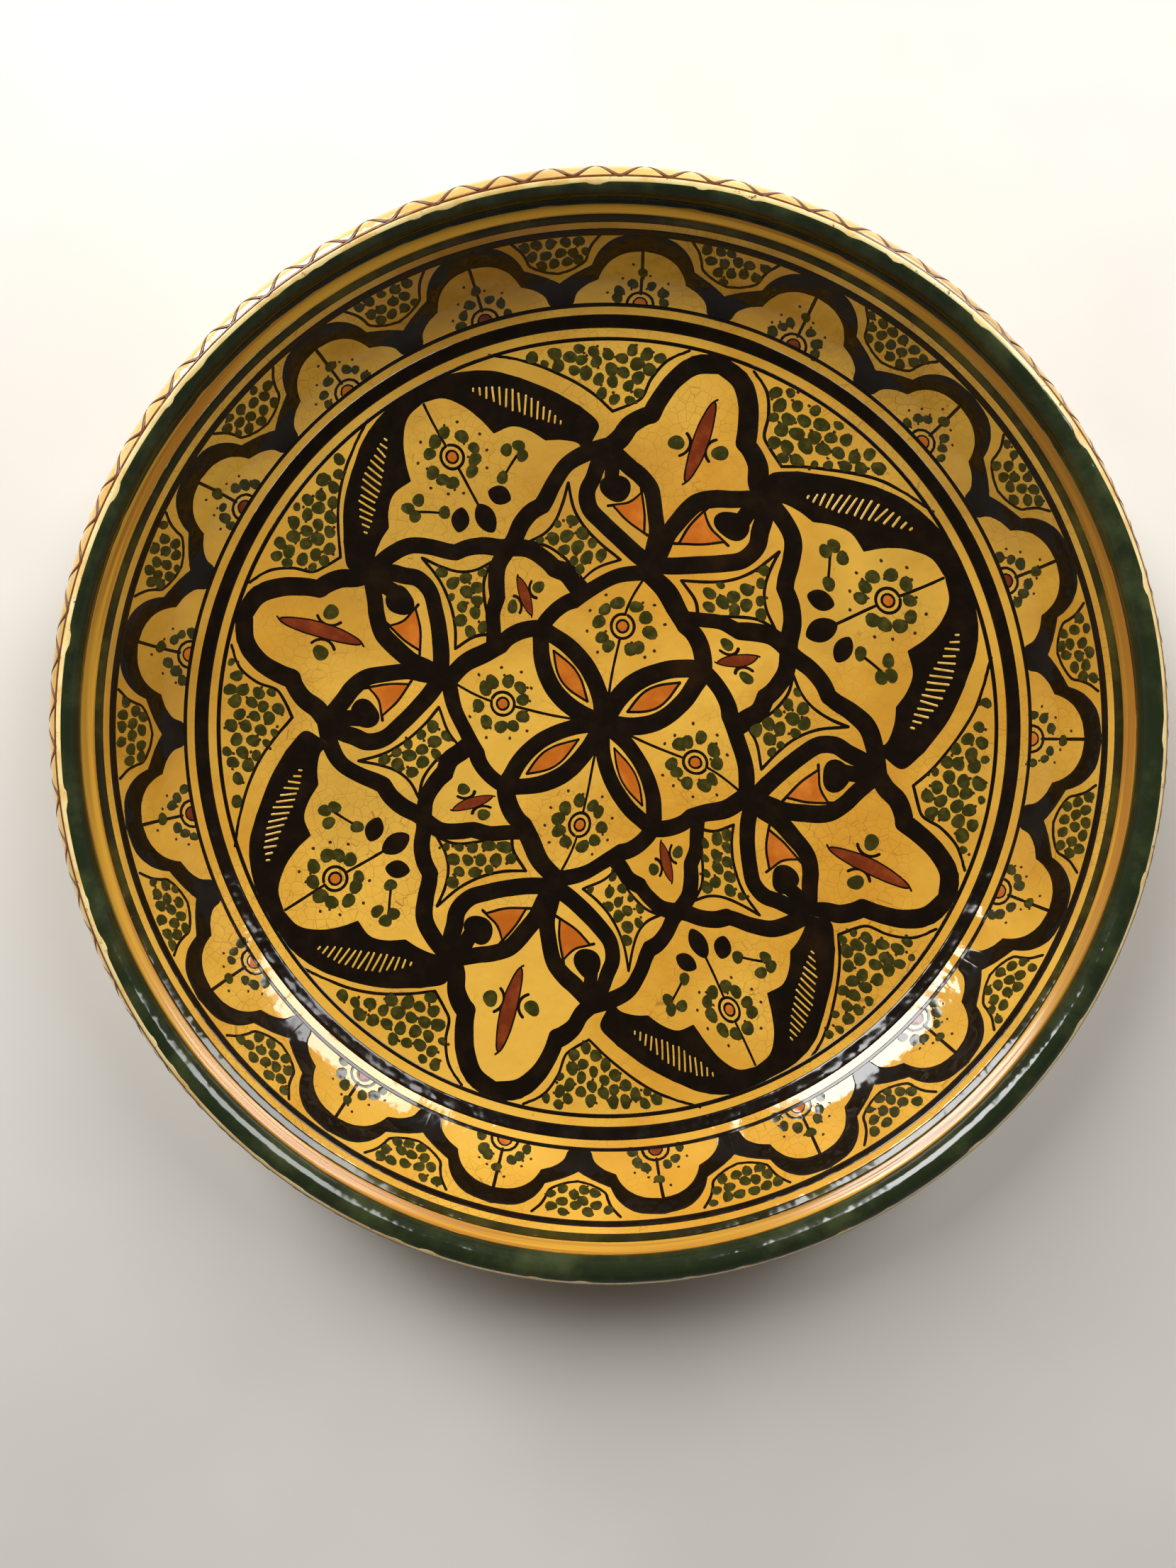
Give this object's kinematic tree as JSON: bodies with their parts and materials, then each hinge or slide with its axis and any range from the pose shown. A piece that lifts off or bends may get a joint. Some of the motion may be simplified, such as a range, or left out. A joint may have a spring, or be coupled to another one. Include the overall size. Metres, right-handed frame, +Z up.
{
  "type": "painted ceramic dish",
  "caption": "Deep round earthenware dish on a foot ring, with a rolled lip, ochre glaze and a dark hand painted rosette, shields and arched frieze.",
  "frame": {"origin": "centre of the foot ring's resting face, on the dish's axis", "axes": "+Z up out of the open side along the dish's axis; the painted pattern's first flower points 73 degrees round from +X towards +Y"},
  "size_m": [0.3614, 0.3616, 0.0644],
  "materials": {
    "clay": "bare low fired buff clay, matt and slightly rough",
    "ochre_glaze": "clear lead type glaze over a yellow ochre slip, glossy and finely crazed",
    "outside_glaze": "pale ochre glaze with thin brown painted scales, glossy",
    "green_glaze": "dark green glaze, glossy, worn through in small chips along the crest",
    "olive_line": "thin olive brown painted line under glaze",
    "manganese_black": "brown black painted outline, glossy and very slightly raised",
    "green_paint": "dark green painted dots under glaze",
    "orange_paint": "orange painted fill under glaze",
    "rust_paint": "rust brown painted fill under glaze",
    "yellow_paint": "yellow ochre left showing between dark strokes"
  },
  "bodies": {
    "root": {"dish_body": "clay", "foot_ring": "clay", "rolled_lip": "clay", "inside_glaze": "ochre_glaze", "lip_glaze": "green_glaze", "outside_glaze": "outside_glaze", "olive_lip_line": "olive_line", "upper_frieze_line": "manganese_black", "frieze_base_line": "manganese_black", "broad_well_ring": "manganese_black", "fine_well_ring": "manganese_black", "petal_rosette": "manganese_black", "flower_outline_1": "manganese_black", "flower_outline_2": "manganese_black", "flower_outline_3": "manganese_black", "flower_outline_4": "manganese_black", "shield_outline_1": "manganese_black", "shield_outline_2": "manganese_black", "shield_outline_3": "manganese_black", "shield_outline_4": "manganese_black", "frieze_arch_1": "manganese_black", "frieze_arch_2": "manganese_black", "frieze_arch_3": "manganese_black", "frieze_arch_4": "manganese_black", "frieze_arch_5": "manganese_black", "frieze_arch_6": "manganese_black", "frieze_arch_7": "manganese_black", "frieze_arch_8": "manganese_black", "frieze_arch_9": "manganese_black", "frieze_arch_10": "manganese_black", "frieze_arch_11": "manganese_black", "frieze_arch_12": "manganese_black", "frieze_arch_13": "manganese_black", "frieze_arch_14": "manganese_black", "frieze_arch_15": "manganese_black", "frieze_arch_16": "manganese_black", "frieze_arch_17": "manganese_black"}
  },
  "joints": []
}
